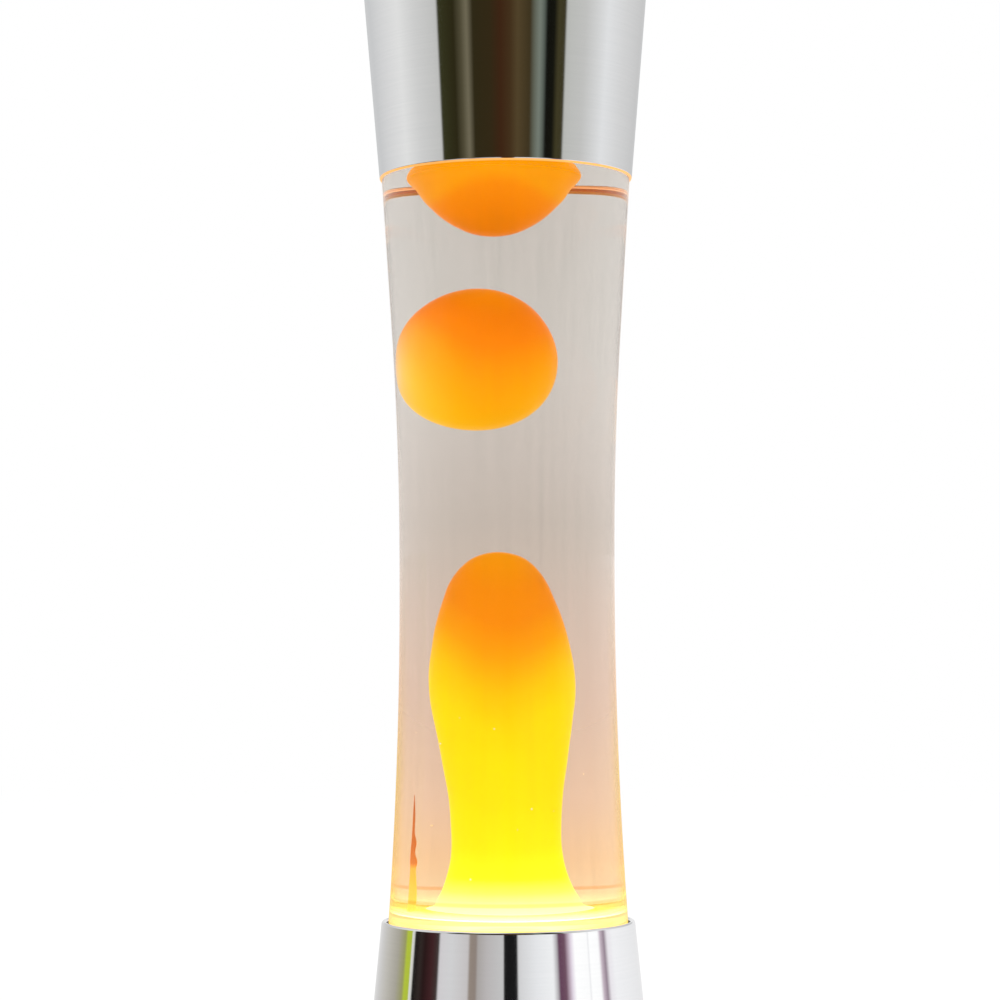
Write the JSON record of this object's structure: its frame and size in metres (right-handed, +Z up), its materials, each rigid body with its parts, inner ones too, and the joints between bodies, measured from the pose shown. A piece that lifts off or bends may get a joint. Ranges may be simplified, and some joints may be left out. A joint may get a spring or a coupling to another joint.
{
  "type": "lava lamp",
  "caption": "Free-standing lava lamp: waisted glass bottle of liquid and glowing wax on a flared polished base that holds the bulb, under a tapered polished cap.",
  "frame": {"origin": "on the lamp's axis, on the surface that the four feet stand on", "axes": "+Z up along the lamp's axis, the viewer stands on the -Y side, +Y towards the cord inlet at the back, +X to the viewer's right"},
  "size_m": [0.0958, 0.0958, 0.4],
  "materials": {
    "spun_aluminium": "polished",
    "seat_aluminium": "satin",
    "plate_steel": "satin",
    "bracket_steel": "satin",
    "fastener_steel": "satin",
    "brass": "satin",
    "phenolic": "satin",
    "foot_rubber": "matte",
    "grommet_rubber": "matte",
    "bulb_glass": "gloss",
    "bulb_cap_metal": "satin",
    "bulb_insulator_glass": "gloss",
    "solder": "satin",
    "filament_metal": "satin",
    "bottle_glass": "gloss",
    "lamp_liquid": "gloss",
    "wax_orange": "satin",
    "wax_yellow": "satin",
    "coil_steel": "satin",
    "crown_tinplate": "gloss",
    "liner_plastic": "matte",
    "collar_plastic": "satin"
  },
  "bodies": {
    "base": {"base_housing": "spun_aluminium", "bottle_seat": "seat_aluminium", "bottom_plate": "plate_steel", "plate_screws": "fastener_steel", "plate_clips": "fastener_steel", "foot_1": "foot_rubber", "foot_2": "foot_rubber", "foot_3": "foot_rubber", "foot_4": "foot_rubber", "holder_bracket": "bracket_steel", "bracket_screws": "fastener_steel", "bracket_nuts": "fastener_steel", "holder_nipple": "brass", "holder_locknut": "brass", "lampholder_body": "phenolic", "holder_screw_shell": "brass", "holder_centre_contact": "brass", "terminal_screws": "brass", "cord_grommet": "grommet_rubber"},
    "bulb_carriage": {"bulb_tip_contact": "solder"},
    "bulb": {"bulb_screw_cap": "bulb_cap_metal", "bulb_insulator": "bulb_insulator_glass", "bulb_envelope": "bulb_glass", "bulb_stem": "bulb_glass", "bulb_lead_wires": "filament_metal", "bulb_filament": "filament_metal"},
    "bottle": {"glass_bottle": "bottle_glass", "lamp_liquid": "lamp_liquid", "wax_column": "wax_yellow", "wire_coil": "coil_steel", "crown_cap": "crown_tinplate", "crown_liner": "liner_plastic"},
    "middle_wax": {"wax_blob_middle": "wax_orange"},
    "top_wax": {"wax_blob_top": "wax_orange"},
    "cap": {"top_cap": "spun_aluminium", "cap_collar": "collar_plastic"}
  },
  "joints": [
    {"name": "bottle_lift", "type": "slide", "parent": "base", "child": "bottle", "axis": [0, 0, 1], "range_m": [0, 0.05]},
    {"name": "cap_lift", "type": "slide", "parent": "bottle", "child": "cap", "axis": [0, 0, 1], "range_m": [0, 0.06]},
    {"name": "bulb_rise", "type": "slide", "parent": "base", "child": "bulb_carriage", "axis": [0, 0, 1], "range_m": [0, 0.0142]},
    {"name": "bulb_turn", "type": "hinge", "parent": "bulb_carriage", "child": "bulb", "pos_m": [0, 0, 0.018], "axis": [0, 0, 1], "range_deg": [0, 1800]},
    {"name": "middle_wax_drift", "type": "slide", "parent": "bottle", "child": "middle_wax", "axis": [0, 0, 1], "range_m": [-0.036, 0.007], "deforming": ["lamp_liquid"]},
    {"name": "top_wax_drift", "type": "slide", "parent": "bottle", "child": "top_wax", "axis": [0, 0, 1], "range_m": [-0.007, 0], "deforming": ["lamp_liquid"]}
  ],
  "couplings": [
    {"joint": "bulb_rise", "follows": "bulb_turn", "m_per_rad": 0.00044882}
  ]
}
